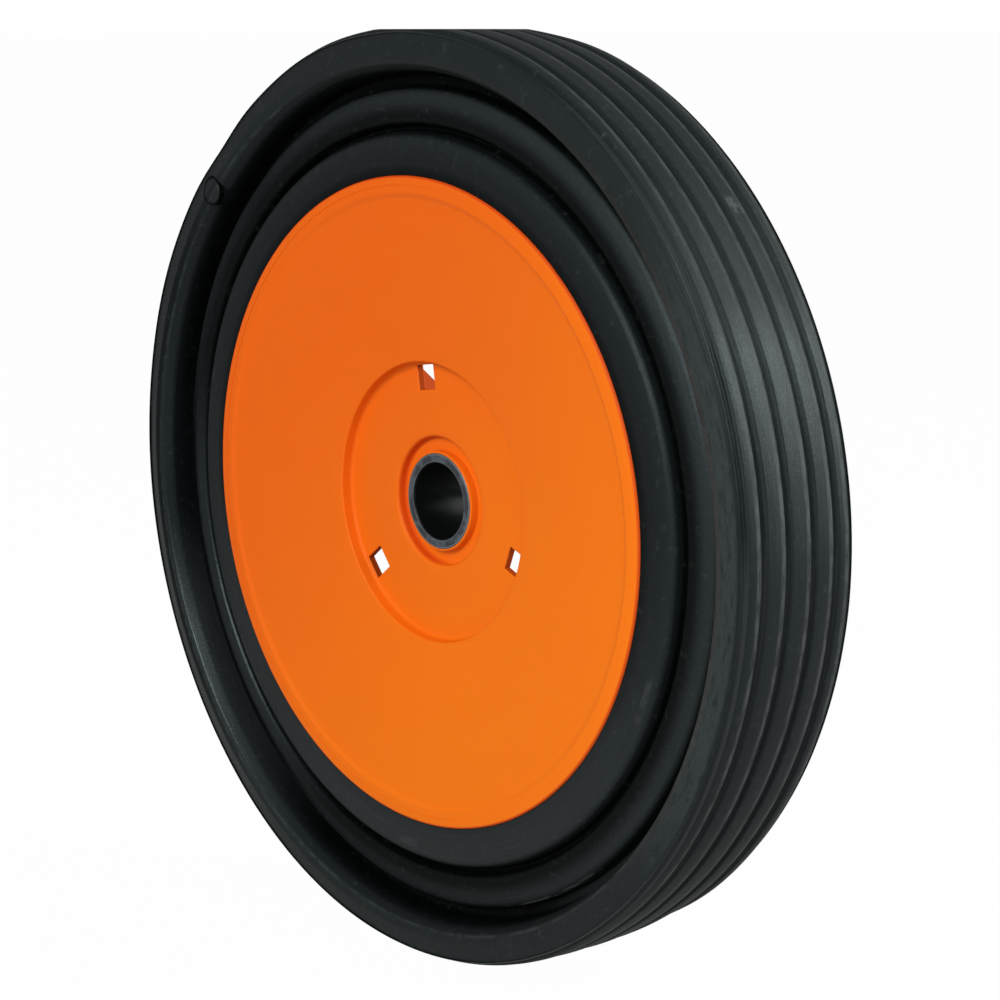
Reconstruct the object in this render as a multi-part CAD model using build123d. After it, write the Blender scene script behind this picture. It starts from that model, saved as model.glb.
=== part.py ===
"""Lawn mower wheel: solid rubber tyre, one-piece plastic wheel body, steel hub tube.

Millimetres. The origin is the wheel's centre. The wheel spins about Y, the dished
face looks along -Y, and +Z is up. Sections are drawn with x as radius and y along the axle.
"""
import math
import os

from build123d import *

# Overall size
TREAD_RADIUS = 127.0
HALF_WIDTH = 20.6

# Tread
CROWN_DROP = 0.45
CROWN_DROP_AT = 14.8
RIB_CENTRES = (0.0, 8.45, 15.5)
GROOVE_CENTRES = (4.4, 12.5, 18.4)
GROOVE_WIDTH = 2.4
GROOVE_FLOOR = 1.2
GROOVE_DEPTH = 1.5
GROOVE_LIP_DROP = 0.15
GROOVE_LIP_ROUND = 0.8
GROOVE_FOOT_ROUND = 0.4
RIB_ROUND = 5.0
SHOULDER_GROOVE_WIDTH = 1.8
SHOULDER_LIP_DROP = 1.7
SHOULDER_DROP = 1.9
SHOULDER_DEPTH = 1.0
SHOULDER_ROUND = 0.5

# Tyre faces, front and rear alike. Radii are shares of the side's height, from the rim to the tread
FLAT_SHARE = 0.811
LIP_SHARE = 0.7375
WALL_SHARE = 0.711
RECESS_OUTER_SHARE = 0.690
RECESS_INNER_SHARE = 0.5696
BULGE_OUTER_SHARE = 0.4908
BULGE_CREST_SHARE = 0.4016
VALLEY_OUTER_SHARE = 0.3517
VALLEY_INNER_SHARE = 0.3202
RING_OUTER_SHARE = 0.2887
LIP_DEPTH = 0.3
WALL_DEPTH = 3.6
RECESS_DEPTH = 12.0
BULGE_OUTER_DEPTH = 6.2
BULGE_CREST_DEPTH = 5.6
VALLEY_DEPTH = 8.7
RING_OUTER_DEPTH = 4.9
RING_DEPTH = 3.7
FLAT_ROUND_SHARE = 0.026
LIP_ROUND_SHARE = 0.034
WALL_ROUND_SHARE = 0.105
RECESS_OUTER_ROUND_SHARE = 0.042
RECESS_INNER_ROUND_SHARE = 0.0315
BULGE_OUTER_ROUND_SHARE = 0.0787
BULGE_CREST_ROUND_SHARE = 0.047
VALLEY_OUTER_ROUND_SHARE = 0.021
VALLEY_INNER_ROUND_SHARE = 0.021
RING_ROUND_SHARE = 0.0735

# Gate plug in the front face of the tyre
PLUG_RADIUS = 4.4
PLUG_SHARE = 0.769
PLUG_ANGLE = 137.1
PLUG_LENGTH = 6.0

# Rim of the wheel body
RIM_SHARE = 0.7
RIM_PROUD = 0.5
FLANGE_THICK = 2.5
FLANGE_ROUND = 0.45
FLANGE_HEIGHT = 6.9
BARREL_WALL = 2.5
BAND_WIDTH = 2.5
BAND_STEP = 0.15
STEP_RING_WIDTH = 2.1
STEP_RING_SLOPE = 1.3
STEP_RING_DROP = 0.65

# Dished front plate
WALL = 2.4
CENTRE_STEP_RADIUS = 38.6
CENTRE_STEP_DEPTH = 6.4
CENTRE_STEP_HEIGHT = 3.5
CENTRE_STEP_DRAFT = 0.2
CENTRE_STEP_FOOT = 1.2
CENTRE_STEP_EDGE = 0.5
MOAT_RADIUS = 17.7
MOAT_DEPTH = 2.8
MOAT_EDGE = 1.2
COLLAR_WALL = 0.55
COLLAR_SHORT = 0.15
COLLAR_EDGE = 0.35

# Hub
TUBE_OUTER = 13.25
TUBE_BORE = 10.5
TUBE_CHAMFER = 0.35
BOSS_WALL = 2.4
BOSS_DRAFT = 0.5
BOSS_SHORT = 1.0

# Square holes, set on one circle
HOLE_SIDE = 6.8
HOLE_PITCH = 34.1
HOLE_ANGLE = 98.6
HOLE_COUNT = 3

# Gussets behind the plate, one beside each hole
GUSSET_THICK = 2.2
GUSSET_OFFSET = 20.0
GUSSET_RUN = 40.0
GUSSET_HEIGHT = 21.5

# Values that follow from the ones above
RIM_RADIUS = TREAD_RADIUS * RIM_SHARE
SIDE_HEIGHT = TREAD_RADIUS - RIM_RADIUS
PLUG_PITCH = RIM_RADIUS + PLUG_SHARE * SIDE_HEIGHT
CHANNEL_RADIUS = RIM_RADIUS - FLANGE_HEIGHT
BARREL_INNER = CHANNEL_RADIUS - BARREL_WALL
BAND_INNER = RIM_RADIUS - BAND_WIDTH
STEP_RING_OUTER = BAND_INNER - STEP_RING_WIDTH
STEP_RING_INNER = STEP_RING_OUTER - STEP_RING_SLOPE
FLANGE_HALF = HALF_WIDTH - RING_DEPTH + RIM_PROUD
CHANNEL_HALF = FLANGE_HALF - FLANGE_THICK
STEP_EDGE_Y = -(FLANGE_HALF - CENTRE_STEP_DEPTH)
FLOOR_Y = STEP_EDGE_Y + CENTRE_STEP_HEIGHT
MOAT_Y = FLOOR_Y + MOAT_DEPTH
DISH_RIM_Y = -(FLANGE_HALF - BAND_STEP - STEP_RING_DROP)
DISH_SLOPE = (STEP_EDGE_Y - DISH_RIM_Y) / (STEP_RING_INNER - CENTRE_STEP_RADIUS)
BOSS_RADIUS = TUBE_OUTER + BOSS_WALL
BOSS_END = HALF_WIDTH - BOSS_SHORT
TUBE_FRONT = FLOOR_Y
TUBE_REAR = HALF_WIDTH


def dish_front(radius):
    """Height of the plate's front surface between the centre step and the rim."""
    return STEP_EDGE_Y - (radius - CENTRE_STEP_RADIUS) * DISH_SLOPE


def crown(axial):
    """Tread radius at a distance along the axle from the middle plane."""
    return TREAD_RADIUS - CROWN_DROP * (axial / CROWN_DROP_AT) ** 2


def section(corners):
    """Closed face through (radius, axial, rounding) corners, each rounded by its own radius."""
    edges = []
    starts = []
    ends = []
    for index, (r, y, rounding) in enumerate(corners):
        here = Vector(r, y)
        before = Vector(*corners[index - 1][:2])
        after = Vector(*corners[(index + 1) % len(corners)][:2])
        if rounding <= 0:
            starts.append(here)
            ends.append(here)
            continue
        back = (before - here).normalized()
        ahead = (after - here).normalized()
        half = math.acos(max(-1.0, min(1.0, back.dot(ahead)))) / 2
        reach = rounding / math.tan(half)
        bisector = (back + ahead).normalized()
        centre = here + bisector * (rounding / math.sin(half))
        start = here + back * reach
        end = here + ahead * reach
        edges.append(ThreePointArc(start, centre - bisector * rounding, end))
        starts.append(start)
        ends.append(end)
    for index, end in enumerate(ends):
        start = starts[(index + 1) % len(starts)]
        if (start - end).length > 1e-6:
            edges.append(Line(end, start))
    return make_face(Wire(edges))


def placed(shape, angle):
    """Turn a shape that points along +X to an angle counted from +X towards +Z."""
    return Rotation(0, -angle, 0) * shape


def groove_corners(centre, first_lip, second_lip, first_half, second_half):
    """Corners of one groove, given the radius of each lip and its distance from the centre."""
    floor = crown(centre) - GROOVE_DEPTH
    half = GROOVE_FLOOR / 2
    return [
        (first_lip, centre - first_half, GROOVE_LIP_ROUND),
        (floor, centre - half, GROOVE_FOOT_ROUND),
        (floor, centre + half, GROOVE_FOOT_ROUND),
        (second_lip, centre + second_half, GROOVE_LIP_ROUND),
    ]


def tread_corners():
    """Corners of the tread from the front shoulder to the rear one: six grooves, five rounded ribs."""
    shoulder_y = HALF_WIDTH - SHOULDER_DEPTH
    shoulder = (TREAD_RADIUS - SHOULDER_DROP, shoulder_y, SHOULDER_ROUND)
    front = [(shoulder[0], -shoulder_y, SHOULDER_ROUND)]
    half = GROOVE_WIDTH / 2
    for centre, rib in reversed(list(zip(GROOVE_CENTRES, RIB_CENTRES))):
        lip = crown(centre) - GROOVE_LIP_DROP
        outer, outer_half = lip, half
        if centre == max(GROOVE_CENTRES):
            outer, outer_half = TREAD_RADIUS - SHOULDER_LIP_DROP, SHOULDER_GROOVE_WIDTH / 2
        front += groove_corners(-centre, outer, lip, outer_half, outer_half)
        if rib:
            front.append((crown(rib), -rib, RIB_ROUND))
    rear = [(r, -y, rounding) for r, y, rounding in reversed(front)]
    return front + [(TREAD_RADIUS, 0, 0)] + rear


def tyre_face_corners():
    """Corners of the tyre's front face, from the bead outwards to the flat beside the tread."""
    ring_y = -(HALF_WIDTH - RING_DEPTH)

    def corner(share, depth, rounding_share):
        """A corner at a share of the side's height, sunk by a depth from the tyre's face."""
        return (RIM_RADIUS + share * SIDE_HEIGHT, -(HALF_WIDTH - depth), rounding_share * SIDE_HEIGHT)

    return [
        (CHANNEL_RADIUS, -CHANNEL_HALF, 0),
        (RIM_RADIUS, -CHANNEL_HALF, 0),
        (RIM_RADIUS, ring_y, 0),
        corner(RING_OUTER_SHARE, RING_OUTER_DEPTH, RING_ROUND_SHARE),
        corner(VALLEY_INNER_SHARE, VALLEY_DEPTH, VALLEY_INNER_ROUND_SHARE),
        corner(VALLEY_OUTER_SHARE, VALLEY_DEPTH, VALLEY_OUTER_ROUND_SHARE),
        corner(BULGE_CREST_SHARE, BULGE_CREST_DEPTH, BULGE_CREST_ROUND_SHARE),
        corner(BULGE_OUTER_SHARE, BULGE_OUTER_DEPTH, BULGE_OUTER_ROUND_SHARE),
        corner(RECESS_INNER_SHARE, RECESS_DEPTH, RECESS_INNER_ROUND_SHARE),
        corner(RECESS_OUTER_SHARE, RECESS_DEPTH, RECESS_OUTER_ROUND_SHARE),
        corner(WALL_SHARE, WALL_DEPTH, WALL_ROUND_SHARE),
        corner(LIP_SHARE, LIP_DEPTH, LIP_ROUND_SHARE),
        corner(FLAT_SHARE, 0, FLAT_ROUND_SHARE),
    ]


def make_tyre():
    """Solid rubber ring with the round gate plug in its front face."""
    front = tyre_face_corners()
    rear = [(r, -y, rounding) for r, y, rounding in reversed(front)]
    ring = revolve(section(front + tread_corners() + rear), Axis.Y)
    plug = Pos(PLUG_PITCH, -HALF_WIDTH + PLUG_LENGTH / 2, 0) * Rotation(90, 0, 0) * Cylinder(PLUG_RADIUS, PLUG_LENGTH)
    return ring + placed(plug, PLUG_ANGLE)


def body_section():
    """Section of the wheel body: collar, moat, stepped dish, rim channel and rear boss."""
    collar = TUBE_OUTER + COLLAR_WALL
    step_foot = CENTRE_STEP_RADIUS - CENTRE_STEP_DRAFT
    step_back = CENTRE_STEP_RADIUS + WALL
    moat_back = MOAT_RADIUS + WALL
    return section([
        (TUBE_OUTER, FLOOR_Y + COLLAR_SHORT, 0),
        (collar, FLOOR_Y + COLLAR_SHORT, COLLAR_EDGE),
        (collar, MOAT_Y, 0.3),
        (MOAT_RADIUS, MOAT_Y, 0.4),
        (MOAT_RADIUS, FLOOR_Y, MOAT_EDGE),
        (step_foot, FLOOR_Y, CENTRE_STEP_FOOT),
        (CENTRE_STEP_RADIUS, STEP_EDGE_Y, CENTRE_STEP_EDGE),
        (STEP_RING_INNER, DISH_RIM_Y, 0.6),
        (STEP_RING_OUTER, -FLANGE_HALF + BAND_STEP, 0.6),
        (BAND_INNER, -FLANGE_HALF + BAND_STEP, 0),
        (BAND_INNER, -FLANGE_HALF, 0),
        (RIM_RADIUS, -FLANGE_HALF, FLANGE_ROUND),
        (RIM_RADIUS, -CHANNEL_HALF, 0),
        (CHANNEL_RADIUS, -CHANNEL_HALF, 0),
        (CHANNEL_RADIUS, CHANNEL_HALF, 0),
        (RIM_RADIUS, CHANNEL_HALF, 0),
        (RIM_RADIUS, FLANGE_HALF, FLANGE_ROUND),
        (BARREL_INNER, FLANGE_HALF, FLANGE_ROUND),
        (BARREL_INNER, dish_front(BARREL_INNER) + WALL, 2.0),
        (step_back, dish_front(step_back) + WALL, 0.8),
        (step_back, FLOOR_Y + WALL, 1.5),
        (moat_back, FLOOR_Y + WALL, 0.8),
        (moat_back, MOAT_Y + WALL, 1.0),
        (BOSS_RADIUS + BOSS_DRAFT, MOAT_Y + WALL, 1.0),
        (BOSS_RADIUS, BOSS_END, 0.6),
        (TUBE_OUTER, BOSS_END, 0),
    ])


def make_gusset():
    """Triangular plate from the boss to the back of the dish, pointing along +X."""
    root = TUBE_OUTER + BOSS_WALL / 2
    tip = BOSS_RADIUS + GUSSET_RUN
    buried = WALL / 2
    step_back = CENTRE_STEP_RADIUS + WALL
    profile = Polyline(
        (root, MOAT_Y + buried),
        (root, MOAT_Y + GUSSET_HEIGHT),
        (BOSS_RADIUS + 1.0, MOAT_Y + GUSSET_HEIGHT),
        (tip, dish_front(tip) + WALL),
        (tip, dish_front(tip) + buried),
        (step_back, dish_front(step_back) + buried),
        (CENTRE_STEP_RADIUS, FLOOR_Y + buried),
        (MOAT_RADIUS + buried, FLOOR_Y + buried),
        (MOAT_RADIUS, MOAT_Y + buried),
        close=True,
    )
    plate = extrude(make_face(profile), GUSSET_THICK / 2, both=True)
    return plate


def make_wheel_body():
    """One plastic moulding: stepped dish, rim channel, boss, gussets and square holes."""
    body = revolve(body_section(), Axis.Y)
    gusset = make_gusset()
    depth = CENTRE_STEP_HEIGHT + WALL
    cutter = Pos(HOLE_PITCH, FLOOR_Y + WALL / 2, 0) * Box(HOLE_SIDE, depth, HOLE_SIDE)
    for index in range(HOLE_COUNT):
        angle = HOLE_ANGLE + index * 360 / HOLE_COUNT
        body += placed(gusset, angle + GUSSET_OFFSET)
    for index in range(HOLE_COUNT):
        angle = HOLE_ANGLE + index * 360 / HOLE_COUNT
        body -= placed(cutter, angle)
    return body


def make_hub_tube():
    """Steel sleeve held in the hub, with small chamfers at both ends of the bore."""
    return revolve(section([
        (TUBE_BORE + TUBE_CHAMFER, TUBE_FRONT, 0),
        (TUBE_OUTER, TUBE_FRONT, 0.3),
        (TUBE_OUTER, TUBE_REAR, 0.3),
        (TUBE_BORE + TUBE_CHAMFER, TUBE_REAR, 0),
        (TUBE_BORE, TUBE_REAR - TUBE_CHAMFER, 0),
        (TUBE_BORE, TUBE_FRONT + TUBE_CHAMFER, 0),
    ]), Axis.Y)


os.makedirs("parts", exist_ok=True)
for name, shape in (
    ("tyre", make_tyre()),
    ("wheel_body", make_wheel_body()),
    ("hub_tube", make_hub_tube()),
):
    box = shape.bounding_box()
    print(name, len(shape.solids()), "solid", round(shape.volume), "mm3", box.min, box.max)
    export_step(shape, f"parts/{name}.step")
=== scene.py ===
"""Lawn mower wheel: a solid rubber tyre, an orange plastic wheel body and a steel hub tube.

Lengths in the settings are millimetres; the meshes are metres. The wheel's centre is the
origin, it spins about Y, the dished face looks along -Y and Z is up. Angles count from +X
towards +Z, so they run anticlockwise for someone who looks at the dished face.
"""
import math

import bpy
import numpy as np
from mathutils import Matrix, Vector


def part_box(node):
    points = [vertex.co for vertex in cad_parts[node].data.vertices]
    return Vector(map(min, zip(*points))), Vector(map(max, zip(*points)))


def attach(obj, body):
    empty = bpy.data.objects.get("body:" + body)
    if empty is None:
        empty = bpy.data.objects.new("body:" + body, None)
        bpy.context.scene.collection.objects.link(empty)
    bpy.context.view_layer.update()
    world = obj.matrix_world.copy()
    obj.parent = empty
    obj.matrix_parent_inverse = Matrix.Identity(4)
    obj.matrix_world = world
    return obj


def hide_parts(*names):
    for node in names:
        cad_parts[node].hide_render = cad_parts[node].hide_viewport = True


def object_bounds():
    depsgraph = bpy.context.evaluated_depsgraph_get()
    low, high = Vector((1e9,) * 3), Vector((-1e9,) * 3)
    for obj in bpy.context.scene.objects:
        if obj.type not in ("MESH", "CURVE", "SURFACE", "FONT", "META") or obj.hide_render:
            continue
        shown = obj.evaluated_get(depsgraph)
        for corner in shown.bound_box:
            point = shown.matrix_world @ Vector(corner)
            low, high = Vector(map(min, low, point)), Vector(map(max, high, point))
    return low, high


bl_info = {
    "name": "Lawn mower wheel",
    "version": (1, 0, 0),
    "blender": (4, 5, 0),
    "location": "3D View > Sidebar > Wheel",
    "description": "Makes a solid-tyred lawn mower wheel and a plain studio for it",
    "category": "Add Mesh",
}

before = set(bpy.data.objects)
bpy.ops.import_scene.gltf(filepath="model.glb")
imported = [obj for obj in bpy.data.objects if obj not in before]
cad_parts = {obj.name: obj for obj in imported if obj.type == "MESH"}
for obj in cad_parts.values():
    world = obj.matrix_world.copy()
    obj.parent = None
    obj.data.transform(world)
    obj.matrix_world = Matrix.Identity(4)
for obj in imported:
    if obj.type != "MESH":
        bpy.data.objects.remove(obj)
CAD_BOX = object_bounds()
MM = 0.001
PER_METRE = 1000.0
SHARP_ANGLE = math.radians(34)


def far_side(node, axis):
    """The node's largest coordinate along an axis, in millimetres."""
    return round(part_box(node)[1][axis] / MM, 3)


CAD_RADIUS = far_side("tyre", 0)


# Settings

def length(name, text, default):
    """A length setting in millimetres."""
    return bpy.props.FloatProperty(name=name, description=text, default=default, soft_min=0.0)


def colour(name, text, default):
    """A colour setting, in linear values."""
    return bpy.props.FloatVectorProperty(
        name=name, description=text, default=default, size=3, subtype="COLOR", min=0.0, max=1.0)


def degrees(name, text, default):
    """An angle setting that is shown in degrees."""
    return bpy.props.FloatProperty(
        name=name, description=text, default=math.radians(default), subtype="ANGLE", unit="ROTATION")


class WheelTyreSettings(bpy.types.PropertyGroup):
    """Sizes and colours of the rubber tyre."""
    tread_radius: length("Tread radius", "Radius of the tread's crown", far_side("tyre", 0))
    half_width: length("Half width", "Half of the tyre's width", far_side("tyre", 1))
    groove_depth: length("Groove depth", "Depth of the six tread grooves", 1.5)
    plug_radius: length("Plug radius", "Radius of the gate plug in the front face", 4.1)
    plug_place: length("Plug place", "Distance of the gate plug from the axle line", 118.5)
    plug_angle: degrees("Plug angle", "Where the gate plug sits around the wheel", 137.1)
    steps: bpy.props.IntProperty(name="Steps", description="Faces around the tyre", default=304, min=24)
    rubber: colour("Rubber", "Clean rubber", (0.0030, 0.0046, 0.0047))
    # Pale chalky rubber, also the colour of the painted highlights, sheen and glow on the tyre.
    chalk_and_painted_light: colour("Chalk", "Pale bloom on worn edges", (0.060, 0.070, 0.070))


class WheelBodySettings(bpy.types.PropertyGroup):
    """Sizes and colours of the plastic wheel body."""
    rim_radius: length("Rim radius", "Outer radius of the two flanges", far_side("wheel_body", 0))
    wall: length("Wall", "Thickness of the dished plate", 2.4)
    hole_side: length("Hole side", "Side of the square holes", 6.8)
    hole_pitch: length("Hole pitch", "Distance of the holes from the axle line", 34.1)
    hole_angle: degrees("Hole angle", "Where the first hole sits around the wheel", 98.6)
    steps: bpy.props.IntProperty(name="Steps", description="Faces around the body", default=288, min=24)
    plastic: colour("Plastic", "Orange plastic", (0.84, 0.172, 0.004))
    # Painted shade: the orange is darker towards the upper left, where less light falls.
    plastic_shaded: colour("Plastic, upper left", "Deeper orange at the upper left", (0.75, 0.116, 0.004))


class WheelTubeSettings(bpy.types.PropertyGroup):
    """Sizes and colours of the hub tube."""
    outer_radius: length("Outer radius", "Outside of the tube", far_side("hub_tube", 0))
    bore_radius: length("Bore radius", "Inside of the tube", 10.5)
    seam_height: length("Seam height", "How far the weld seam stands into the bore", 0.22)
    steel: colour("Steel", "Cut steel of the tube's end", (0.095, 0.118, 0.135))
    bore: colour("Bore", "Dark scale inside the tube", (0.003, 0.004, 0.004))


class WheelStageSettings(bpy.types.PropertyGroup):
    """Floor, lamps and camera."""
    floor: colour("Floor", "Floor, away from the camera's own white", (0.55, 0.55, 0.55))
    key_power: bpy.props.FloatProperty(
        name="Key power", description="Power of the front lamp", default=18.0, unit="POWER")
    side_power: bpy.props.FloatProperty(
        name="Side power", description="Power of the long strip at the right", default=4.6, unit="POWER")
    fill_power: bpy.props.FloatProperty(
        name="Fill power", description="Power of the large dim lamp at the front left", default=3.0,
        unit="POWER")
    rear_power: bpy.props.FloatProperty(
        name="Rear power", description="Power of the strip behind the tread", default=12.5, unit="POWER")
    sky: bpy.props.FloatProperty(name="Sky", description="Strength of the plain sky light", default=0.12)
    gloss_sky: bpy.props.FloatProperty(
        name="Sky in gloss", description="Share of the white backdrop in glossy surfaces", default=0.3)
    lens: bpy.props.FloatProperty(
        name="Lens", description="Focal length of the camera", default=90.0, unit="CAMERA")
    camera_place: bpy.props.FloatVectorProperty(
        name="Camera", description="Where the camera stands", default=(0.5184, -0.4356, 0.1282), size=3,
        subtype="TRANSLATION", unit="LENGTH")
    camera_turn: degrees("Camera turn", "How far the camera stands round to the right", 49.01)
    camera_tilt: degrees("Camera tilt", "How far the camera looks down", 10.77)


# Shapes

def rounded_path(corners, turn=12.0, stride=3.0):
    """Points along a closed path whose corners are rounded.

    A corner (r, y, rho) becomes the arc of radius rho that touches both its sides, in steps
    of at most turn degrees; the straight lines between the arcs get a point every stride.
    """
    pts = np.array([c[:2] for c in corners], float)
    rho = np.array([c[2] for c in corners], float)
    back = np.roll(pts, 1, 0) - pts
    ahead = np.roll(pts, -1, 0) - pts
    back /= np.linalg.norm(back, axis=1)[:, None]
    ahead /= np.linalg.norm(ahead, axis=1)[:, None]
    half = np.arccos(np.clip((back * ahead).sum(1), -1, 1)) / 2
    reach = rho / np.tan(half)
    runs = []
    for i in range(len(pts)):
        if rho[i] <= 0:
            runs.append(pts[i:i + 1])
            continue
        middle = back[i] + ahead[i]
        middle /= np.linalg.norm(middle)
        centre = pts[i] + middle * rho[i] / math.sin(half[i])
        first = pts[i] + back[i] * reach[i] - centre
        last = pts[i] + ahead[i] * reach[i] - centre
        a0 = math.atan2(first[1], first[0])
        sweep = (math.atan2(last[1], last[0]) - a0 + math.pi) % (2 * math.pi) - math.pi
        count = max(2, int(math.ceil(abs(math.degrees(sweep)) / turn)) + 1)
        t = a0 + sweep * np.linspace(0, 1, count)
        runs.append(centre + rho[i] * np.stack([np.cos(t), np.sin(t)], 1))
    out = []
    for i, run in enumerate(runs):
        out.append(run)
        gap = runs[(i + 1) % len(runs)][0] - run[-1]
        count = int(np.linalg.norm(gap) // stride)
        if count:
            t = (np.arange(1, count + 1) / (count + 1))[:, None]
            out.append(run[-1] + gap * t)
    path = np.concatenate(out)
    keep = np.linalg.norm(path - np.roll(path, 1, 0), axis=1) > 1e-5
    return path[keep]


def lathe(path, steps, shift=None):
    """Turned surface P(s, a) = (r(s) cos a, y(s), r(s) sin a) of a closed path, as vertices and quads.

    shift(r, y, a) may return a changed r and y for every point of the grid.
    """
    a = np.linspace(0, 2 * np.pi, steps, endpoint=False)[:, None]
    r = np.repeat(path[None, :, 0], steps, 0)
    y = np.repeat(path[None, :, 1], steps, 0)
    if shift:
        r, y = shift(r, y, np.broadcast_to(a, r.shape))
    verts = np.stack([r * np.cos(a), y, r * np.sin(a)], -1).reshape(-1, 3)
    n = len(path)
    i = np.arange(steps)[:, None]
    j = np.arange(n)[None, :]
    i2 = (i + 1) % steps
    j2 = (j + 1) % n
    quads = np.stack([i * n + j, i * n + j2, i2 * n + j2, i2 * n + j], -1).reshape(-1, 4)
    return verts, quads


def outward(verts, faces):
    """The faces, turned over where their signed volume, the sum of p0 . (p1 x p2) / 6, is negative."""
    total = 0.0
    for size in sorted({len(f) for f in faces}):
        group = np.array([f for f in faces if len(f) == size])
        for k in range(1, size - 1):
            p0, p1, p2 = (verts[group[:, m]] for m in (0, k, k + 1))
            total += np.einsum("ij,ij->", p0, np.cross(p1, p2))
    return faces if total > 0 else [tuple(f)[::-1] for f in faces]


def spun(verts, angle):
    """The points turned about the axle line by angle, from +X towards +Z."""
    c, s = math.cos(angle), math.sin(angle)
    return verts @ np.array([[c, 0, s], [0, 1, 0], [-s, 0, c]])


def shade(mesh):
    """Smooth shading, with the edges beyond SHARP_ANGLE kept sharp."""
    mesh.shade_smooth()
    mesh.set_sharp_from_angle(angle=SHARP_ANGLE)


def mesh_object(name, shells):
    """One object made of closed shells, each a (vertices in mm, faces) pair."""
    points, faces, base = [], [], 0
    for verts, shell in shells:
        if isinstance(shell, np.ndarray):
            shell = shell.tolist()
        shell = outward(verts, [tuple(f) for f in shell])
        faces.extend(tuple(v + base for v in f) for f in shell)
        points.append(verts)
        base += len(verts)
    mesh = bpy.data.meshes.new(name)
    mesh.from_pydata((np.concatenate(points) * MM).tolist(), [], faces)
    mesh.validate()
    shade(mesh)
    made = bpy.data.objects.new(name, mesh)
    bpy.context.scene.collection.objects.link(made)
    return made


def waves(a, seed, counts, size):
    """Sum of size / n^0.5 * cos(n a + phase_n) over the whole numbers in counts, with fixed phases."""
    phases = np.random.default_rng(seed).uniform(0, 2 * np.pi, len(counts))
    return sum(size / math.sqrt(n) * np.cos(n * a + p) for n, p in zip(counts, phases))


def bump_at(a, centre, width):
    """Bell exp(-(d / width)^2) of the angle d between a and centre, both in radians."""
    d = (a - centre + np.pi) % (2 * np.pi) - np.pi
    return np.exp(-(d / width) ** 2)


# Materials

class Wire:
    """An output socket of a shader tree; arithmetic on it adds Math nodes."""

    def __init__(self, shader, socket):
        self.shader = shader
        self.socket = socket

    def math(self, operation, *others):
        """A Math node that has this value as its first input."""
        values = dict(enumerate((self, *others)))
        return self.shader.node("ShaderNodeMath", {"operation": operation}, values)

    def __add__(self, other):
        return self.math("ADD", other)

    __radd__ = __add__

    def __mul__(self, other):
        return self.math("MULTIPLY", other)

    __rmul__ = __mul__

    def __sub__(self, other):
        return self.math("SUBTRACT", other)

    def __rsub__(self, other):
        return (self * -1.0) + other

    def __truediv__(self, other):
        return self.math("DIVIDE", other)

    def __abs__(self):
        return self.math("ABSOLUTE")


class Shader:
    """The node tree of a material or a world that is being built."""

    def __init__(self, owner):
        owner.use_nodes = True
        self.owner = owner
        self.tree = owner.node_tree
        self.tree.nodes.clear()

    def node(self, kind, settings=None, inputs=None, output=0):
        """Adds a node: its settings first, then values or links into its sockets. Returns its outputs."""
        made = self.tree.nodes.new(kind)
        for key, value in (settings or {}).items():
            setattr(made, key, value)
        for key, value in (inputs or {}).items():
            if isinstance(value, Wire):
                self.tree.links.new(value.socket, made.inputs[key])
            elif made.inputs[key].type == "RGBA":
                made.inputs[key].default_value = (*value[:3], 1.0)
            else:
                made.inputs[key].default_value = value
        if isinstance(output, tuple):
            return [Wire(self, made.outputs[k]) for k in output]
        return Wire(self, made.outputs[output]) if made.outputs else made

    def place(self):
        """Object coordinates in millimetres: x, y, z, then radius and angle in degrees about the axle."""
        point = self.node("ShaderNodeTexCoord", output="Object")
        parts = self.node("ShaderNodeSeparateXYZ", inputs={0: point}, output=(0, 1, 2))
        x, y, z = (part * PER_METRE for part in parts)
        radius = (x * x + z * z).math("SQRT")
        angle = z.math("ARCTAN2", x) * math.degrees(1)
        return point, x, y, z, radius, angle

    def vector(self, x, y, z):
        """Three values as one vector."""
        return self.node("ShaderNodeCombineXYZ", inputs={0: x, 1: y, 2: z})

    def noise(self, vector, scale, detail=2.0, roughness=0.5):
        """Noise from about 0.25 to 0.75."""
        return self.node("ShaderNodeTexNoise", {"noise_dimensions": "3D"}, {
            "Vector": vector, "Scale": scale, "Detail": detail, "Roughness": roughness})

    def rise(self, value, low, high):
        """0 below low, 1 above high, smooth between; low may be the larger one."""
        return self.node("ShaderNodeMapRange", {"interpolation_type": "SMOOTHSTEP"}, {
            "Value": value, "From Min": low, "From Max": high, "To Min": 0.0, "To Max": 1.0})

    def band(self, value, centre, half, soft):
        """1 within half of centre, falling to 0 over soft."""
        return self.rise(abs(value - centre), half + soft, half)

    def blend(self, factor, first, second):
        """Colour mix: first where factor is 0, second where it is 1."""
        return self.node("ShaderNodeMix", {"data_type": "RGBA"}, {0: factor, 6: first, 7: second}, 2)

    def bump(self, height, distance, strength=1.0, normal=None):
        """A bumped normal, on top of another one where that is given."""
        inputs = {"Height": height, "Distance": distance, "Strength": strength}
        if normal:
            inputs["Normal"] = normal
        return self.node("ShaderNodeBump", inputs=inputs)

    def surface(self, **sockets):
        """A Principled surface with these sockets."""
        inputs = {key.replace("_", " "): value for key, value in sockets.items()}
        return self.node("ShaderNodeBsdfPrincipled", inputs=inputs)

    def finish(self, surface):
        """Sends the surface to the output and gives back the material."""
        self.node("ShaderNodeOutputMaterial", inputs={"Surface": surface})
        return self.owner


def new_material(name):
    """A shader for a new material."""
    return Shader(bpy.data.materials.new(name))


def largest(*masks):
    """The largest of several masks."""
    result = masks[0]
    for mask in masks[1:]:
        result = result.math("MAXIMUM", mask)
    return result


# The tyre's seat in the body, the bead beside the flange, the moat round the hub, and the square holes
SEAT_RADIUS = 82.0
SEAT_HALF = 14.9
BEAD_RADIUS = 88.9
MOAT_RADIUS = 17.7
HOLES = 3
HOLE_CHAMFER = 0.25
GUSSET_TURN = math.radians(20)
PLUG_STEPS = 48
TUBE_STEPS = 240

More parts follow.
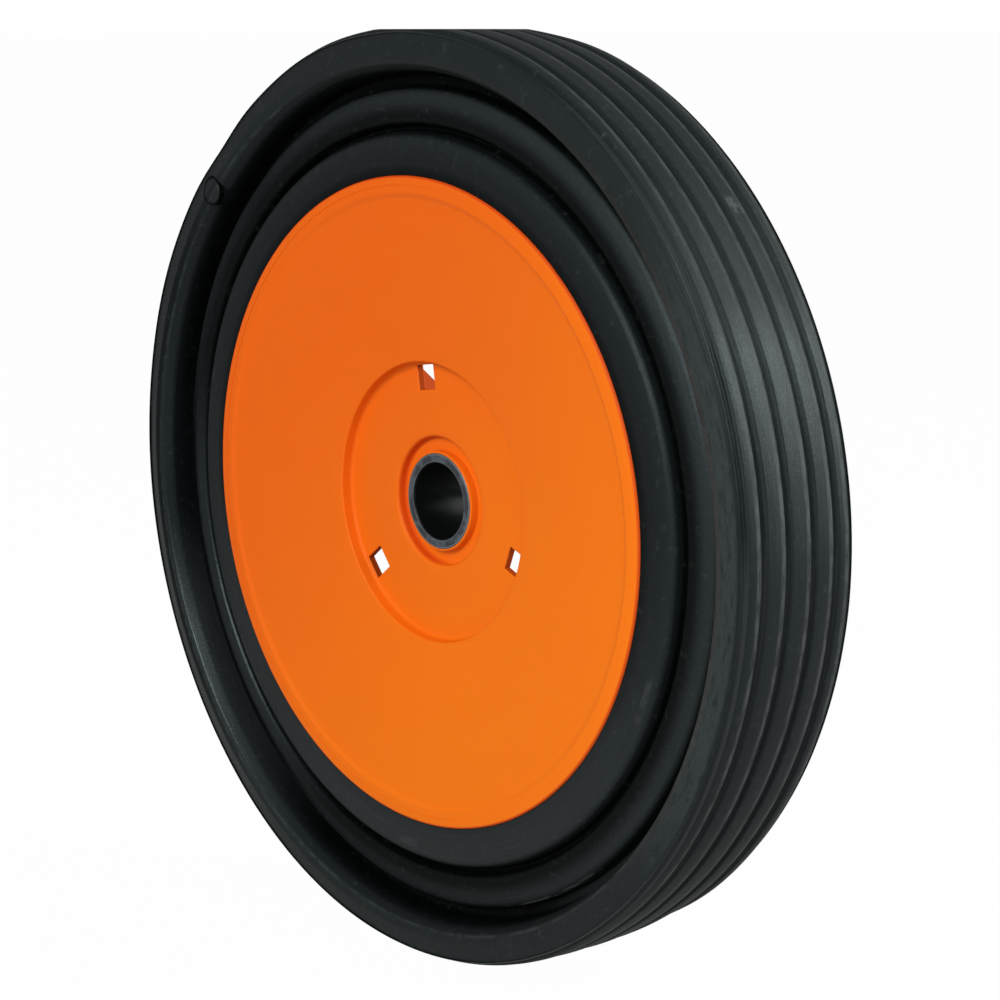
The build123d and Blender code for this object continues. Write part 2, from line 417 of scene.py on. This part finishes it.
# Places along the axle, in millimetres
GROOVES = (-18.4, -12.5, -4.4, 4.4, 12.5, 18.4)
RIBS = (-15.5, -8.45, 0.0, 8.45, 15.5)

# Tints that no setting changes
WHITE = (1.0, 1.0, 1.0)
RUBBER_SHEEN = (0.80, 0.97, 1.0)
# Worn rubber, also used for painted light on the groove edges and floors.
RUBBER_WORN_AND_LIT = (0.060, 0.066, 0.066)
RUBBER_RIB = (0.012, 0.015, 0.015)
# Near black for painted shade and for the plug's dark joint.
RUBBER_SHADE_AND_JOINT = (0.0006, 0.0009, 0.0010)
RUBBER_DUSTY = (0.050, 0.055, 0.055)
# Painted shade on the flange's edge and the moat's wall.
ORANGE_EDGE_SHADE = (0.56, 0.045, 0.004)
ORANGE_SHADE = (0.22, 0.026, 0.003)
STEEL_STAIN = (0.035, 0.043, 0.050)
# Painted highlight on the tube's chamfered rims.
STEEL_RIM_HIGHLIGHT = (0.16, 0.18, 0.20)
# Painted reflection inside the bore.
BORE_REFLECTION = (0.045, 0.050, 0.053)


def tyre_rubber(settings):
    """Black rubber, as a mix of a faintly glossy surface and a dull one.

    The glossy one has streaks, scuffs, grain and groove edges that are partly chalky and partly
    painted highlight, with painted light: a highlight on the lip, a sheen on the flat's right side,
    a glow in the recess at the lower left and a paler bead slope and lower ring. The dull one is
    painted shade in the hollows, at the foot beside the rim and round the ring, dust and painted
    shade on the tread, and the plug's dark sunk line.
    """
    sh = new_material("tyre_rubber")
    point, x, y, z, radius, angle = sh.place()
    east, up = x / radius, z / radius
    across = sh.vector(east * 5.0, y * 1.7 + radius * 1.3, up * 5.0)
    ragged = sh.vector(east * 26.0, y * 0.8 + radius * 0.8, up * 26.0)
    patches = sh.noise(sh.vector(east * 4.0, y * 0.16, up * 4.0), 1.0, 3.0)
    streaks = sh.noise(across, 1.0, 4.0, 0.62)
    grit = sh.noise(ragged, 1.0, 4.0, 0.65)
    grain = sh.noise(point, 900.0, 3.0, 0.6)
    speck = sh.noise(point, 420.0, 4.0, 0.7)

    tread = sh.rise(radius, 123.6, 124.8) * sh.rise(abs(y), 19.6, 19.0)
    # Pale lines at the groove edges: partly chalky rubber, partly painted highlight on the rounded edges,
    # stronger at the lower right.
    edges = sh.band(y, GROOVES[0] - 1.5, 0.1, 0.5) * 0.3
    for centre in GROOVES[1:]:
        edges = edges + sh.band(y, centre - 1.9, 0.35, 0.9)
    low_right = sh.band(angle, -25.0, 35.0, 25.0)
    chalk_and_painted_light = edges * tread * sh.rise(grit, 0.26, 0.66) * (0.45 + low_right * 0.30)
    rib_wear = tread * (sh.rise(streaks, 0.38, 0.68) * sh.rise(patches, 0.35, 0.65) * 0.5 + low_right * 0.1)
    dust = sh.rise(speck, 0.56, 0.74) * 0.20

    front = sh.rise(y, -19.0, -19.8)
    # Painted highlight: a ragged pale line along the lip's rounded edge.
    lip = sh.band(radius, 117.8, 0.15, 0.5) * front * sh.rise(grit, 0.40, 0.62)
    # Painted sheen: the outer flat is made paler on the right-hand side.
    flat = sh.band(radius, 120.6, 3.2, 1.0) * front * sh.rise(east, 0.70, 0.95)
    flat = flat * sh.rise(grit, 0.25, 0.55)
    flash = sh.band(angle, -61.0, 8.0, 4.0) * sh.band(radius, 111.2, 0.2, 0.3) * sh.rise(grit, 0.40, 0.55)
    # Painted light: the lower part of the ring is made paler.
    low = sh.rise(up, 0.1, -0.8) * sh.band(radius, 95.0, 5.0, 1.5)
    bead = sh.rise(radius, 105.0, 110.2) * sh.rise(radius, 111.6, 110.9) * sh.rise(y, -9.0, -11.0)
    # Painted shade in the valley beside the ring, over the bead's inner side and in the recess; weaker on
    # the right and at the far left, where light falls.
    hollow = sh.band(radius, 101.6, 1.1, 0.5) * sh.rise(y, -15.6, -14.4)
    hollow = largest(hollow, sh.band(radius, 103.6, 1.0, 4.6) * 0.84)
    pit = sh.band(radius, 113.3, 2.6, 0.8) * sh.rise(y, -19.0, -12.0) * sh.rise(radius, 111.3, 111.9)
    pit = pit * (1.0 - sh.rise(east, 0.35, 0.62) * 0.85)
    far_left = sh.rise(east, -0.35, -0.75) * sh.rise(up, 0.35, -0.10)
    hollow = largest(hollow, pit) * (1.0 - far_left * 0.9)
    # Painted shade on the bead's outer slope at the far left.
    slope = far_left * sh.band(radius, 109.3, 1.8, 1.6)

    colour_mix = sh.blend(rib_wear * 0.25, settings.rubber, settings.chalk_and_painted_light)
    # Painted light: the bead's outer slope is made paler, except at the far left.
    colour_mix = sh.blend(bead * 0.08 * (1.0 - far_left), colour_mix, settings.chalk_and_painted_light)
    # Painted glow on the recess wall at the lower left.
    glow = far_left * sh.band(radius, 114.0, 1.6, 2.5) * sh.rise(up, -0.12, -0.42)
    # Painted light in the pale colour: the lip highlight, the flat's sheen, the recess glow and the paler
    # lower ring, broken up by noise.
    bloom_and_painted_light = largest(lip * 0.22, flat * 0.30, glow * 0.22, low * 0.10)
    colour_mix = sh.blend(bloom_and_painted_light, colour_mix, settings.chalk_and_painted_light)
    rings = sh.noise(sh.vector(east * 1.5, radius * 2.4, up * 1.5), 1.0, 2.0)
    rings = sh.rise(rings, 0.56, 0.66) * sh.band(radius, 94.0, 4.5, 1.0) * sh.rise(up, -0.2, -0.6)
    smudge = sh.band(angle, -22.0, 3.0, 2.0) * sh.band(radius, 97.0, 0.5, 0.8)
    smudge = smudge + sh.band(angle, -92.0, 1.5, 1.5) * sh.band(radius, 96.0, 0.8, 0.8)
    scuff = sh.band(angle, 53.0, 0.9, 1.0) * sh.band(y, -17.6, 0.5, 0.8)
    scuff = scuff + sh.band(angle, 42.0, 0.8, 0.8) * sh.band(y, 8.5, 1.6, 1.0)
    scuff = scuff * sh.rise(radius, 123.6, 124.8) * sh.rise(speck, 0.46, 0.60) * 0.6
    # Wear marks, together with the groove-edge lines that are partly painted highlight.
    worn = largest(chalk_and_painted_light, flash, rings * 0.10, smudge * sh.rise(grit, 0.35, 0.6) * 0.30, scuff)
    colour_mix = sh.blend(worn, colour_mix, RUBBER_WORN_AND_LIT)
    colour_mix = sh.blend(dust, colour_mix, settings.chalk_and_painted_light)
    rough = 0.47 + (streaks - 0.5) * 0.20 + (grain - 0.5) * 0.12 + chalk_and_painted_light * 0.3 - far_left * 0.14
    fine = sh.bump(grain, 0.00012, 0.55)
    lines = sh.bump(streaks, 0.00022, 0.5, fine)
    clean = sh.surface(Base_Color=colour_mix, Roughness=rough, Normal=lines,
                       Specular_IOR_Level=0.25, Specular_Tint=RUBBER_SHEEN)
    # Painted light: the groove floors are made paler, as if light reached into them.
    floors = sh.rise(radius, 126.2, 125.7)
    ribs = sh.blend(largest(chalk_and_painted_light, dust, floors * 0.45, scuff), RUBBER_RIB, RUBBER_WORN_AND_LIT)
    # Colour of the dull surface: near black for painted shade, with dust specks, and the rib colour on the
    # tread.
    matt = sh.blend(dust, RUBBER_SHADE_AND_JOINT, RUBBER_DUSTY)
    matt = sh.blend(tread, matt, ribs)
    dull = sh.surface(Base_Color=matt, Roughness=0.6, Normal=fine, Specular_IOR_Level=0.03)
    upper = sh.rise(up + (patches - 0.5) * 0.6, -0.75, 0.15)
    # Painted shade beside the rim, strongest at the top.
    foot = sh.rise(radius, 94.5, 89.0) * (0.15 + upper * 0.75)
    # Painted shade: a darker band across the outer flat on the left.
    left_flat_shade = sh.band(radius, 118.8, 0.5, 0.9) * front * sh.rise(east, -0.6, -0.9)
    # Painted shade on the ring's outer corner at the far left.
    corner = far_left * sh.band(radius, 99.4, 0.8, 0.8)
    plug_x = settings.plug_place * math.cos(settings.plug_angle)
    plug_z = settings.plug_place * math.sin(settings.plug_angle)
    plug = ((x - plug_x) * (x - plug_x) + (z - plug_z) * (z - plug_z)).math("SQRT")
    outline = sh.band(plug, settings.plug_radius + 0.05, 0.2, 0.35) * sh.rise(y, -18.5, -19.5)
    # Dust and painted shade on the tread: dulled and darkened everywhere but in the window where the rear
    # lamp's highlight falls.
    tread_dust_and_shade = tread * (0.62 + low_right * 0.16) * (1.0 - sh.band(angle, 15.0, 8.0, 9.0))
    # Painted shade on the ring at the far left.
    left_ring = far_left * sh.band(radius, 92.0, 5.0, 2.0)
    # Painted shade over the upper part of the ring.
    upper_ring = sh.rise(radius, 100.5, 92.0) * upper
    # Painted shade, with dust on the tread and the plug's dark joint: where this is high the dull surface
    # replaces the glossy one.
    shade_and_dust = largest(tread_dust_and_shade, foot * 0.8, hollow * 0.92, left_flat_shade * 0.55, corner * 0.8, outline * 0.95,
                       slope * 0.8, left_ring * 0.3, upper_ring * 0.30)
    return sh.finish(sh.node("ShaderNodeMixShader", inputs={0: shade_and_dust, 1: clean, 2: dull}))


def body_plastic(settings):
    """Orange moulding: faint flow marks and a fine grain, with painted shade at the upper left, on the
    edge, in the moat and in the holes.
    """
    sh = new_material("body_plastic")
    point, x, y, z, radius, _ = sh.place()
    cloud = sh.noise(point, 22.0, 3.0, 0.5)
    flow = sh.noise(sh.vector(x / radius * 3.0, radius * 0.12, z / radius * 3.0), 1.0, 3.0)
    grain = sh.noise(point, 700.0, 3.0, 0.6)
    # Painted shade darkening towards the upper left, with a little random tone from cloud and flow.
    shade_and_tone = sh.rise(x - z, 95.0, -95.0) * 0.9 + sh.rise(cloud, 0.35, 0.65) * 0.06
    shade_and_tone = (shade_and_tone + sh.rise(flow, 0.4, 0.65) * 0.04).math("MINIMUM", 1.0)
    colour_mix = sh.blend(shade_and_tone, settings.plastic, settings.plastic_shaded)
    # Painted shade inside the square holes and on the gussets behind them, shown through the dull surface.
    hole = sh.band(radius, settings.hole_pitch, 4.0, 0.6) * sh.rise(y, -7.4, -7.0) * sh.rise(y, -5.25, -5.5)
    behind = sh.band(radius, settings.hole_pitch, 3.0, 5.0) * sh.rise(y, -4.95, -4.7) * sh.rise(y, 7.0, 4.5)
    # Painted shade on the flange's rounded edge and on the left side of the moat.
    edge = sh.rise(radius, 88.1, 88.6)
    moat = sh.band(radius, MOAT_RADIUS, 0.4, 0.5) * sh.rise(y, -7.4, -6.6) * sh.rise(x / radius, 0.3, -0.4)
    colour_mix = sh.blend(largest(edge * 0.75, moat * 0.6), colour_mix, ORANGE_EDGE_SHADE)
    rough = 0.5 + (grain - 0.5) * 0.10 + (cloud - 0.5) * 0.10
    normal = sh.bump(grain, 0.00006, 0.5)
    normal = sh.bump(flow, 0.0004, 0.25, normal)
    clean = sh.surface(Base_Color=colour_mix, Roughness=rough, Normal=normal, Specular_IOR_Level=0.12)
    dull = sh.surface(Base_Color=ORANGE_SHADE, Roughness=0.7, Normal=normal, Specular_IOR_Level=0.02)
    inner = largest(hole * 0.9, behind * 0.65)
    return sh.finish(sh.node("ShaderNodeMixShader", inputs={0: inner, 1: clean, 2: dull}))


def tube_steel(settings):
    """Cut steel on the end face with a painted highlight on its rims, dark scale with drawing lines inside
    the bore and a painted reflection on its right-hand wall.
    """
    sh = new_material("tube_steel")
    point, x, y, z, radius, _ = sh.place()
    lines = sh.noise(sh.vector(x * 0.9, y * 0.06, z * 0.9), 1.0, 4.0, 0.65)
    turned = sh.noise(sh.vector(x / radius, radius * 3.0, z / radius), 1.0, 3.0, 0.6)
    blotch = sh.noise(point, 240.0, 3.0, 0.6)
    inside = sh.rise(radius, 10.95, 10.75)
    end = sh.blend(sh.rise(blotch, 0.42, 0.56) * 0.85, settings.steel, STEEL_STAIN)
    # Painted highlight: pale rings on the outer and inner chamfers of the end face.
    end = sh.blend(sh.band(radius, 12.9, 0.08, 0.25) + sh.band(radius, 10.9, 0.04, 0.15), end, STEEL_RIM_HIGHLIGHT)
    # Painted reflection: pale streaks on the right-hand wall of the bore, split by a dark line.
    reflection_patch = sh.rise(x, 4.0, 8.5) * sh.rise(abs(z - 0.6), 0.4, 1.8) * sh.rise(lines, 0.42, 0.58)
    wall = sh.blend(reflection_patch * sh.rise(abs(z), 9.0, 6.0), settings.bore, BORE_REFLECTION)
    colour_mix = sh.blend(inside, end, wall)
    metal = 0.75 - inside * 0.75
    rough = 0.42 + (turned - 0.5) * 0.2 + (blotch - 0.5) * 0.2 - inside * 0.1
    normal = sh.bump(turned + lines, 0.00008, 0.4)
    clean = sh.surface(Base_Color=colour_mix, Roughness=rough, Metallic=metal, Normal=normal)
    scale = sh.surface(Base_Color=wall, Roughness=0.5, Normal=normal, Specular_IOR_Level=0.05)
    return sh.finish(sh.node("ShaderNodeMixShader", inputs={0: inside * 0.92, 1: clean, 2: scale}))


def dress(made, material, node):
    """Gives the finished piece its material and its place in the frame, in the CAD node's stead."""
    made.data.materials.clear()
    made.data.materials.append(material)
    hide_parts(node)
    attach(made, "root")


# Pieces

def tyre_corners(settings):
    """Corners (radius, axial, rounding) of the tyre's section, both faces alike."""
    top = settings.tread_radius
    wide = settings.half_width
    face = [
        (SEAT_RADIUS, -SEAT_HALF, 0), (BEAD_RADIUS, -SEAT_HALF, 0),
        (BEAD_RADIUS, -16.9, 0.2), (99.5, -16.0, 2.4),
        (100.9, -11.6, 0.5), (101.6, -11.4, 0.5), (102.7, -14.9, 1.9), (107.0, -14.7, 6.0),
        (111.6, -13.1, 2.5), (111.7, -8.6, 0.8), (115.0, -8.6, 1.6), (115.8, -17.2, 3.5),
        (117.4, 0.8 - wide, 1.2), (119.8, -wide, 1.0),
    ]
    crown = {g: top - 0.45 * (abs(g) / 14.8) ** 2 for g in (*GROOVES, *RIBS)}
    tread = [(125.1, -19.6, 0.5)]
    for g, rib in zip(GROOVES, (*RIBS, None)):
        low = crown[g] - settings.groove_depth
        lips = [crown[g] - 0.15, crown[g] - 0.15]
        half = 1.2
        if abs(g) == GROOVES[5]:
            lips[0 if g < 0 else 1] = 125.3
            half = 0.9
        tread += [(lips[0], g - half, 0.8), (low, g - 0.6, 0.4)]
        tread += [(low, g + 0.6, 0.4), (lips[1], g + half, 0.8)]
        if rib is not None:
            tread.append((crown[rib], rib, 5.0 if rib else 0))
    tread.append((125.1, 19.6, 0.5))
    return face + tread + [(r, -y, rho) for r, y, rho in reversed(face)]


def smooth_step(value, low, high):
    """0 below low, 1 above high and t^2 (3 - 2 t) between, for arrays."""
    t = np.clip((value - low) / (high - low), 0, 1)
    return t * t * (3 - 2 * t)


def out_of_round(a, y):
    """How far the rubber stands off its true circle, in mm, at the angle a and the place y along the axle.

    With a in degrees it is 0.74 cos(a - 53) + 0.61 cos 2(a - 96) + 0.24 cos 4(a + 12), the tyre's
    run-out and ovalness, plus swellings at 108 and 155, a dent at 131.5, and a rear shoulder that
    is worn at -60 and 82.
    """
    turn = math.radians
    off = 0.74 * np.cos(a - turn(53)) + 0.61 * np.cos(2 * (a - turn(96)))
    off = off + 0.24 * np.cos(4 * (a + turn(12)))
    off = off + 0.6 * bump_at(a, turn(108), turn(9)) - 0.95 * bump_at(a, turn(131.5), turn(5.5))
    off = off - 0.9 * bump_at(a, turn(-60), turn(7)) * smooth_step(y, 6, 16)
    off = off - 0.6 * bump_at(a, turn(82), turn(7)) * smooth_step(y, 2, 14)
    return off + 0.35 * bump_at(a, turn(155), turn(9))


def tyre_shift(r, y, a):
    """Unevenness of the moulding: run-out, wandering grooves and rings that wave by hundredths."""
    tread = np.clip((r - 124.0) / 1.5, 0, 1)
    side = np.clip((r - 90.0) / 6.0, 0, 1) * np.clip((113.0 - r) / 2.0, 0, 1)
    wander = waves(a + 0.02 * y, 5, (3, 5, 8, 13, 21, 34, 55), 0.09)
    ripple = waves(a, 9, (2, 3, 7, 11, 19, 31), 0.05) * np.sign(-y)
    inner = tread * (np.abs(y) < 19.9)
    off = out_of_round(a, y)
    room = CAD_RADIUS / np.maximum(np.abs(np.cos(a)), np.abs(np.sin(a))) - r
    room = room + 4.0 * (1 - smooth_step(r, 119.0, 124.0))
    grown = r + np.minimum(off * smooth_step(r, 100.0, 130.0) * 1.08, room)
    return grown, y + inner * wander + side * ripple


def gate_plug(settings):
    """Round plug over the lip: a turned profile with a sunk line inside its rim."""
    rim = settings.plug_radius
    face = -settings.half_width
    profile = np.array([(0.001, face + 0.10), (rim * 0.5, face + 0.12), (rim - 0.75, face + 0.16),
                        (rim - 0.5, face + 0.42), (rim - 0.25, face + 0.05), (rim, face + 0.25),
                        (rim, face + 6.0), (0.001, face + 6.0)])
    verts, quads = lathe(profile, PLUG_STEPS)
    verts[:, 0] += settings.plug_place
    return spun(verts, settings.plug_angle), quads


class WHEEL_OT_tyre(bpy.types.Operator):
    """Make the solid rubber tyre with its grooves, rings and gate plug"""
    bl_idname = "wheel.make_tyre"
    bl_label = "Tyre"

    def execute(self, context):
        settings = context.scene.wheel_tyre
        path = rounded_path(tyre_corners(settings), turn=15.0, stride=4.0)
        ring = lathe(path, settings.steps, tyre_shift)
        made = mesh_object("tyre_skin", [ring, gate_plug(settings)])
        dress(made, tyre_rubber(settings), "tyre")
        return {"FINISHED"}


def body_corners(settings):
    """Corners (radius, axial, rounding) of the wheel body's section, from the collar outwards and back."""
    rim = settings.rim_radius
    wall = settings.wall
    slope = (16.6 - 11.0) / (83.0 - 38.6)
    back = {r: -11.0 - (r - 38.6) * slope + wall for r in (79.5, 41.0)}
    return [
        (13.25, -7.35, 0), (13.8, -7.35, 0.35), (13.8, -4.7, 0.3),
        (MOAT_RADIUS, -4.7, 0.4), (MOAT_RADIUS, -7.5, 1.2),
        (38.4, -7.5, 1.2), (38.6, -11.0, 0.6), (83.0, -16.6, 0.6), (84.3, -17.25, 0.6),
        (86.4, -17.25, 0), (86.4, -17.4, 0), (rim, -17.4, 0.7), (rim, -SEAT_HALF, 0),
        (SEAT_RADIUS, -SEAT_HALF, 0), (SEAT_RADIUS, SEAT_HALF, 0), (rim, SEAT_HALF, 0),
        (rim, 17.4, 0.7), (79.5, 17.4, 0.7), (79.5, back[79.5], 2.0),
        (41.0, back[41.0], 0.8), (41.0, wall - 7.5, 1.5), (MOAT_RADIUS + wall, wall - 7.5, 0.8),
        (MOAT_RADIUS + wall, wall - 4.7, 1.0), (16.15, wall - 4.7, 1.0),
        (15.65, 19.6, 0.6), (13.25, 19.6, 0),
    ]


def body_shift(r, y, a):
    """The dish waves by hundredths, and the flange's edge has one small nick."""
    plate = np.clip((r - 40.0) / 6.0, 0, 1) * np.clip((82.0 - r) / 4.0, 0, 1) * (y < -8.0)
    ripple = waves(a, 21, (2, 3, 5, 6), 0.05)
    nick = bump_at(a, math.radians(49.4), math.radians(0.55)) * np.clip(r - 87.6, 0, 1) * (y < -15.5)
    return r - 0.5 * nick, y + plate * ripple


def gusset(angle):
    """Upright three-cornered plate from the boss to the back of the dish."""
    outline = np.array([(14.6, -3.5), (14.6, 16.8), (16.6, 16.8), (55.6, -11.0), (55.6, -12.0),
                        (41.0, -10.2), (38.0, -6.4), (20.0, -6.4), (18.8, -3.5)])
    n = len(outline)
    verts = np.concatenate([np.insert(outline, 2, s, axis=1) for s in (-1.1, 1.1)])
    k = np.arange(n)
    faces = [tuple(range(n))[::-1], tuple(range(n, 2 * n))]
    faces += [tuple(q) for q in np.stack([k, (k + 1) % n, (k + 1) % n + n, k + n], -1).tolist()]
    return spun(verts, angle), faces


def hole_cutter(settings, angle):
    """Square bar with flared ends, so that the hole gets a fine chamfer on both faces."""
    half = settings.hole_side / 2
    levels = ((-12.0, HOLE_CHAMFER), (-7.5, HOLE_CHAMFER), (-7.25, 0.0),
              (-5.35, 0.0), (-5.1, HOLE_CHAMFER), (-0.5, HOLE_CHAMFER))
    rings = []
    for y, flare in levels:
        s = half + flare
        rings.append([(-s, y, -s), (s, y, -s), (s, y, s), (-s, y, s)])
    verts = np.array(rings, float).reshape(-1, 3) + (settings.hole_pitch, 0, 0)
    k = np.arange(4)
    faces = [(0, 1, 2, 3), (20, 21, 22, 23)]
    for level in range(len(levels) - 1):
        b = level * 4
        quads = np.stack([b + k, b + (k + 1) % 4, b + 4 + (k + 1) % 4, b + 4 + k], -1)
        faces += [tuple(q) for q in quads.tolist()]
    return spun(verts, angle), faces


def cut(made, cutters):
    """Takes the cutters out of the piece for good, and keeps the result as its mesh."""
    for cutter in cutters:
        modifier = made.modifiers.new("cut", "BOOLEAN")
        modifier.object = cutter
        modifier.operation = "DIFFERENCE"
        modifier.solver = "EXACT"
    bpy.context.view_layer.update()
    graph = bpy.context.evaluated_depsgraph_get()
    mesh = bpy.data.meshes.new_from_object(made.evaluated_get(graph))
    made.modifiers.clear()
    made.data = mesh
    shade(mesh)
    for cutter in cutters:
        bpy.data.objects.remove(cutter)


class WHEEL_OT_body(bpy.types.Operator):
    """Make the orange wheel body with its stepped dish, hub and square holes"""
    bl_idname = "wheel.make_body"
    bl_label = "Wheel body"

    def execute(self, context):
        settings = context.scene.wheel_body
        angles = [settings.hole_angle + k * 2 * math.pi / HOLES for k in range(HOLES)]
        path = rounded_path(body_corners(settings), turn=15.0, stride=3.2)
        plate = mesh_object("body_skin", [lathe(path, settings.steps, body_shift)])
        cut(plate, [mesh_object("cutter", [hole_cutter(settings, a)]) for a in angles])
        ribs = mesh_object("ribs", [gusset(a + GUSSET_TURN) for a in angles])
        with context.temp_override(active_object=plate, selected_editable_objects=[plate, ribs]):
            bpy.ops.object.join()
        dress(plate, body_plastic(settings), "wheel_body")
        return {"FINISHED"}


def tube_corners(settings):
    """Corners (radius, axial, rounding) of the tube's wall, with a chamfer at both ends of the bore."""
    bore, outer = settings.bore_radius, settings.outer_radius
    return [(bore + 0.35, -7.5, 0.1), (outer, -7.5, 0.35), (outer, 20.6, 0.35), (bore + 0.35, 20.6, 0.1),
            (bore, 20.25, 0.1), (bore, -7.15, 0.1)]


class WHEEL_OT_tube(bpy.types.Operator):
    """Make the steel hub tube with the weld seam inside its bore"""
    bl_idname = "wheel.make_tube"
    bl_label = "Hub tube"

    def execute(self, context):
        settings = context.scene.wheel_tube
        path = rounded_path(tube_corners(settings), turn=15.0, stride=0.5)
        height = settings.seam_height

        def seam(r, y, a):
            """A low ridge along the bore, a little wavy along its length."""
            place = math.pi + 0.03 * np.sin(y * 0.9)
            inner = np.clip((settings.bore_radius + 0.2 - r) / 0.15, 0, 1)
            return r - inner * height * bump_at(a, place, 0.11), y

        made = mesh_object("tube_skin", [lathe(path, TUBE_STEPS, seam)])
        dress(made, tube_steel(settings), "hub_tube")
        return {"FINISHED"}


# Stage

# Share of plain white that the camera sees in the floor, and half of the floor's side in metres
FLOOR_WHITE = 0.985
FLOOR_HALF = 60


def soft_lamp(name, direction, distance, size, power):
    """A rectangular lamp that stands off along a direction and faces the wheel's centre."""
    data = bpy.data.lights.new(name, "AREA")
    data.shape = "RECTANGLE"
    data.size, data.size_y = size
    data.energy = power
    made = bpy.data.objects.new(name, data)
    bpy.context.scene.collection.objects.link(made)
    away = Vector(direction).normalized()
    made.location = away * distance
    made.rotation_mode = "QUATERNION"
    made.rotation_quaternion = away.to_track_quat("Z", "Y")
    return made


def pale_world(settings):
    """Plain grey light, and white where the camera, glossy or transmitted rays see it."""
    world = bpy.data.worlds.new("pale_sky")
    bpy.context.scene.world = world
    sh = Shader(world)
    seen, glossy, through = sh.node(
        "ShaderNodeLightPath", output=("Is Camera Ray", "Is Glossy Ray", "Is Transmission Ray"))
    share = seen.math("MAXIMUM", through) + glossy * settings.gloss_sky
    sky = sh.node("ShaderNodeBackground", inputs={"Color": WHITE, "Strength": settings.sky})
    white = sh.node("ShaderNodeBackground", inputs={"Color": WHITE, "Strength": 1.0})
    both = sh.node("ShaderNodeMixShader", inputs={0: share, 1: sky, 2: white})
    sh.node("ShaderNodeOutputWorld", inputs={"Surface": both})


def floor_paint(settings):
    """Pale matt floor that mostly shows as white to the camera and keeps a soft shadow."""
    sh = new_material("floor_paint")
    seen, glossy = sh.node("ShaderNodeLightPath", output=("Is Camera Ray", "Is Glossy Ray"))
    share = seen * FLOOR_WHITE + glossy * settings.gloss_sky
    paint = sh.node("ShaderNodeBsdfDiffuse", inputs={"Color": settings.floor})
    white = sh.node("ShaderNodeEmission", inputs={"Color": WHITE, "Strength": 1.0})
    return sh.finish(sh.node("ShaderNodeMixShader", inputs={0: share, 1: paint, 2: white}))


class WHEEL_OT_stage(bpy.types.Operator):
    """Make the pale floor, the soft lamps and the camera"""
    bl_idname = "wheel.make_stage"
    bl_label = "Stage"

    def execute(self, context):
        settings = context.scene.wheel_stage
        low = CAD_BOX[0].z
        mesh = bpy.data.meshes.new("floor")
        sides = ((-1, -1), (1, -1), (1, 1), (-1, 1))
        mesh.from_pydata([(u * FLOOR_HALF, v * FLOOR_HALF, low) for u, v in sides], [], [(0, 1, 2, 3)])
        mesh.materials.append(floor_paint(settings))
        floor = bpy.data.objects.new("floor", mesh)
        context.scene.collection.objects.link(floor)
        pale_world(settings)
        soft_lamp("key", (0.36, -0.82, 0.45), 1.5, (0.62, 0.62), settings.key_power)
        soft_lamp("side_strip", (0.72, 0.05, 0.66), 1.15, (1.40, 0.25), settings.side_power)
        soft_lamp("tread_strip", (0.66, 0.60, 0.50), 1.1, (0.45, 0.72), settings.rear_power)
        soft_lamp("fill", (-0.38, -0.90, 0.20), 2.0, (1.3, 0.9), settings.fill_power)
        camera = bpy.data.cameras.new("camera")
        camera.lens = settings.lens
        camera.sensor_width = 36.0
        camera.clip_start = 0.01
        made = bpy.data.objects.new("camera", camera)
        context.scene.collection.objects.link(made)
        made.location = settings.camera_place
        made.rotation_euler = (math.pi / 2 - settings.camera_tilt, 0.0, settings.camera_turn)
        context.scene.camera = made
        context.scene.view_settings.view_transform = "Standard"
        return {"FINISHED"}


class WHEEL_PT_panel(bpy.types.Panel):
    """Lists the pieces and their settings"""
    bl_label = "Lawn mower wheel"
    bl_idname = "WHEEL_PT_panel"
    bl_space_type = "VIEW_3D"
    bl_region_type = "UI"
    bl_category = "Wheel"

    def draw(self, context):
        for prop, operator in STEPS:
            box = self.layout.box()
            group = getattr(context.scene, prop)
            for name in group.__annotations__:
                box.prop(group, name)
            box.operator(operator)


STEPS = (
    ("wheel_tyre", "wheel.make_tyre"),
    ("wheel_body", "wheel.make_body"),
    ("wheel_tube", "wheel.make_tube"),
    ("wheel_stage", "wheel.make_stage"),
)
GROUPS = {
    "wheel_tyre": WheelTyreSettings,
    "wheel_body": WheelBodySettings,
    "wheel_tube": WheelTubeSettings,
    "wheel_stage": WheelStageSettings,
}
CLASSES = (*GROUPS.values(), WHEEL_OT_tyre, WHEEL_OT_body, WHEEL_OT_tube, WHEEL_OT_stage, WHEEL_PT_panel)


def register():
    for cls in CLASSES:
        bpy.utils.register_class(cls)
    for name, group in GROUPS.items():
        setattr(bpy.types.Scene, name, bpy.props.PointerProperty(type=group))


def unregister():
    for name in GROUPS:
        delattr(bpy.types.Scene, name)
    for cls in reversed(CLASSES):
        bpy.utils.unregister_class(cls)


def main():
    register()
    bpy.ops.wheel.make_tyre()
    bpy.ops.wheel.make_body()
    bpy.ops.wheel.make_tube()
    bpy.ops.wheel.make_stage()


if __name__ == "__main__":
    main()
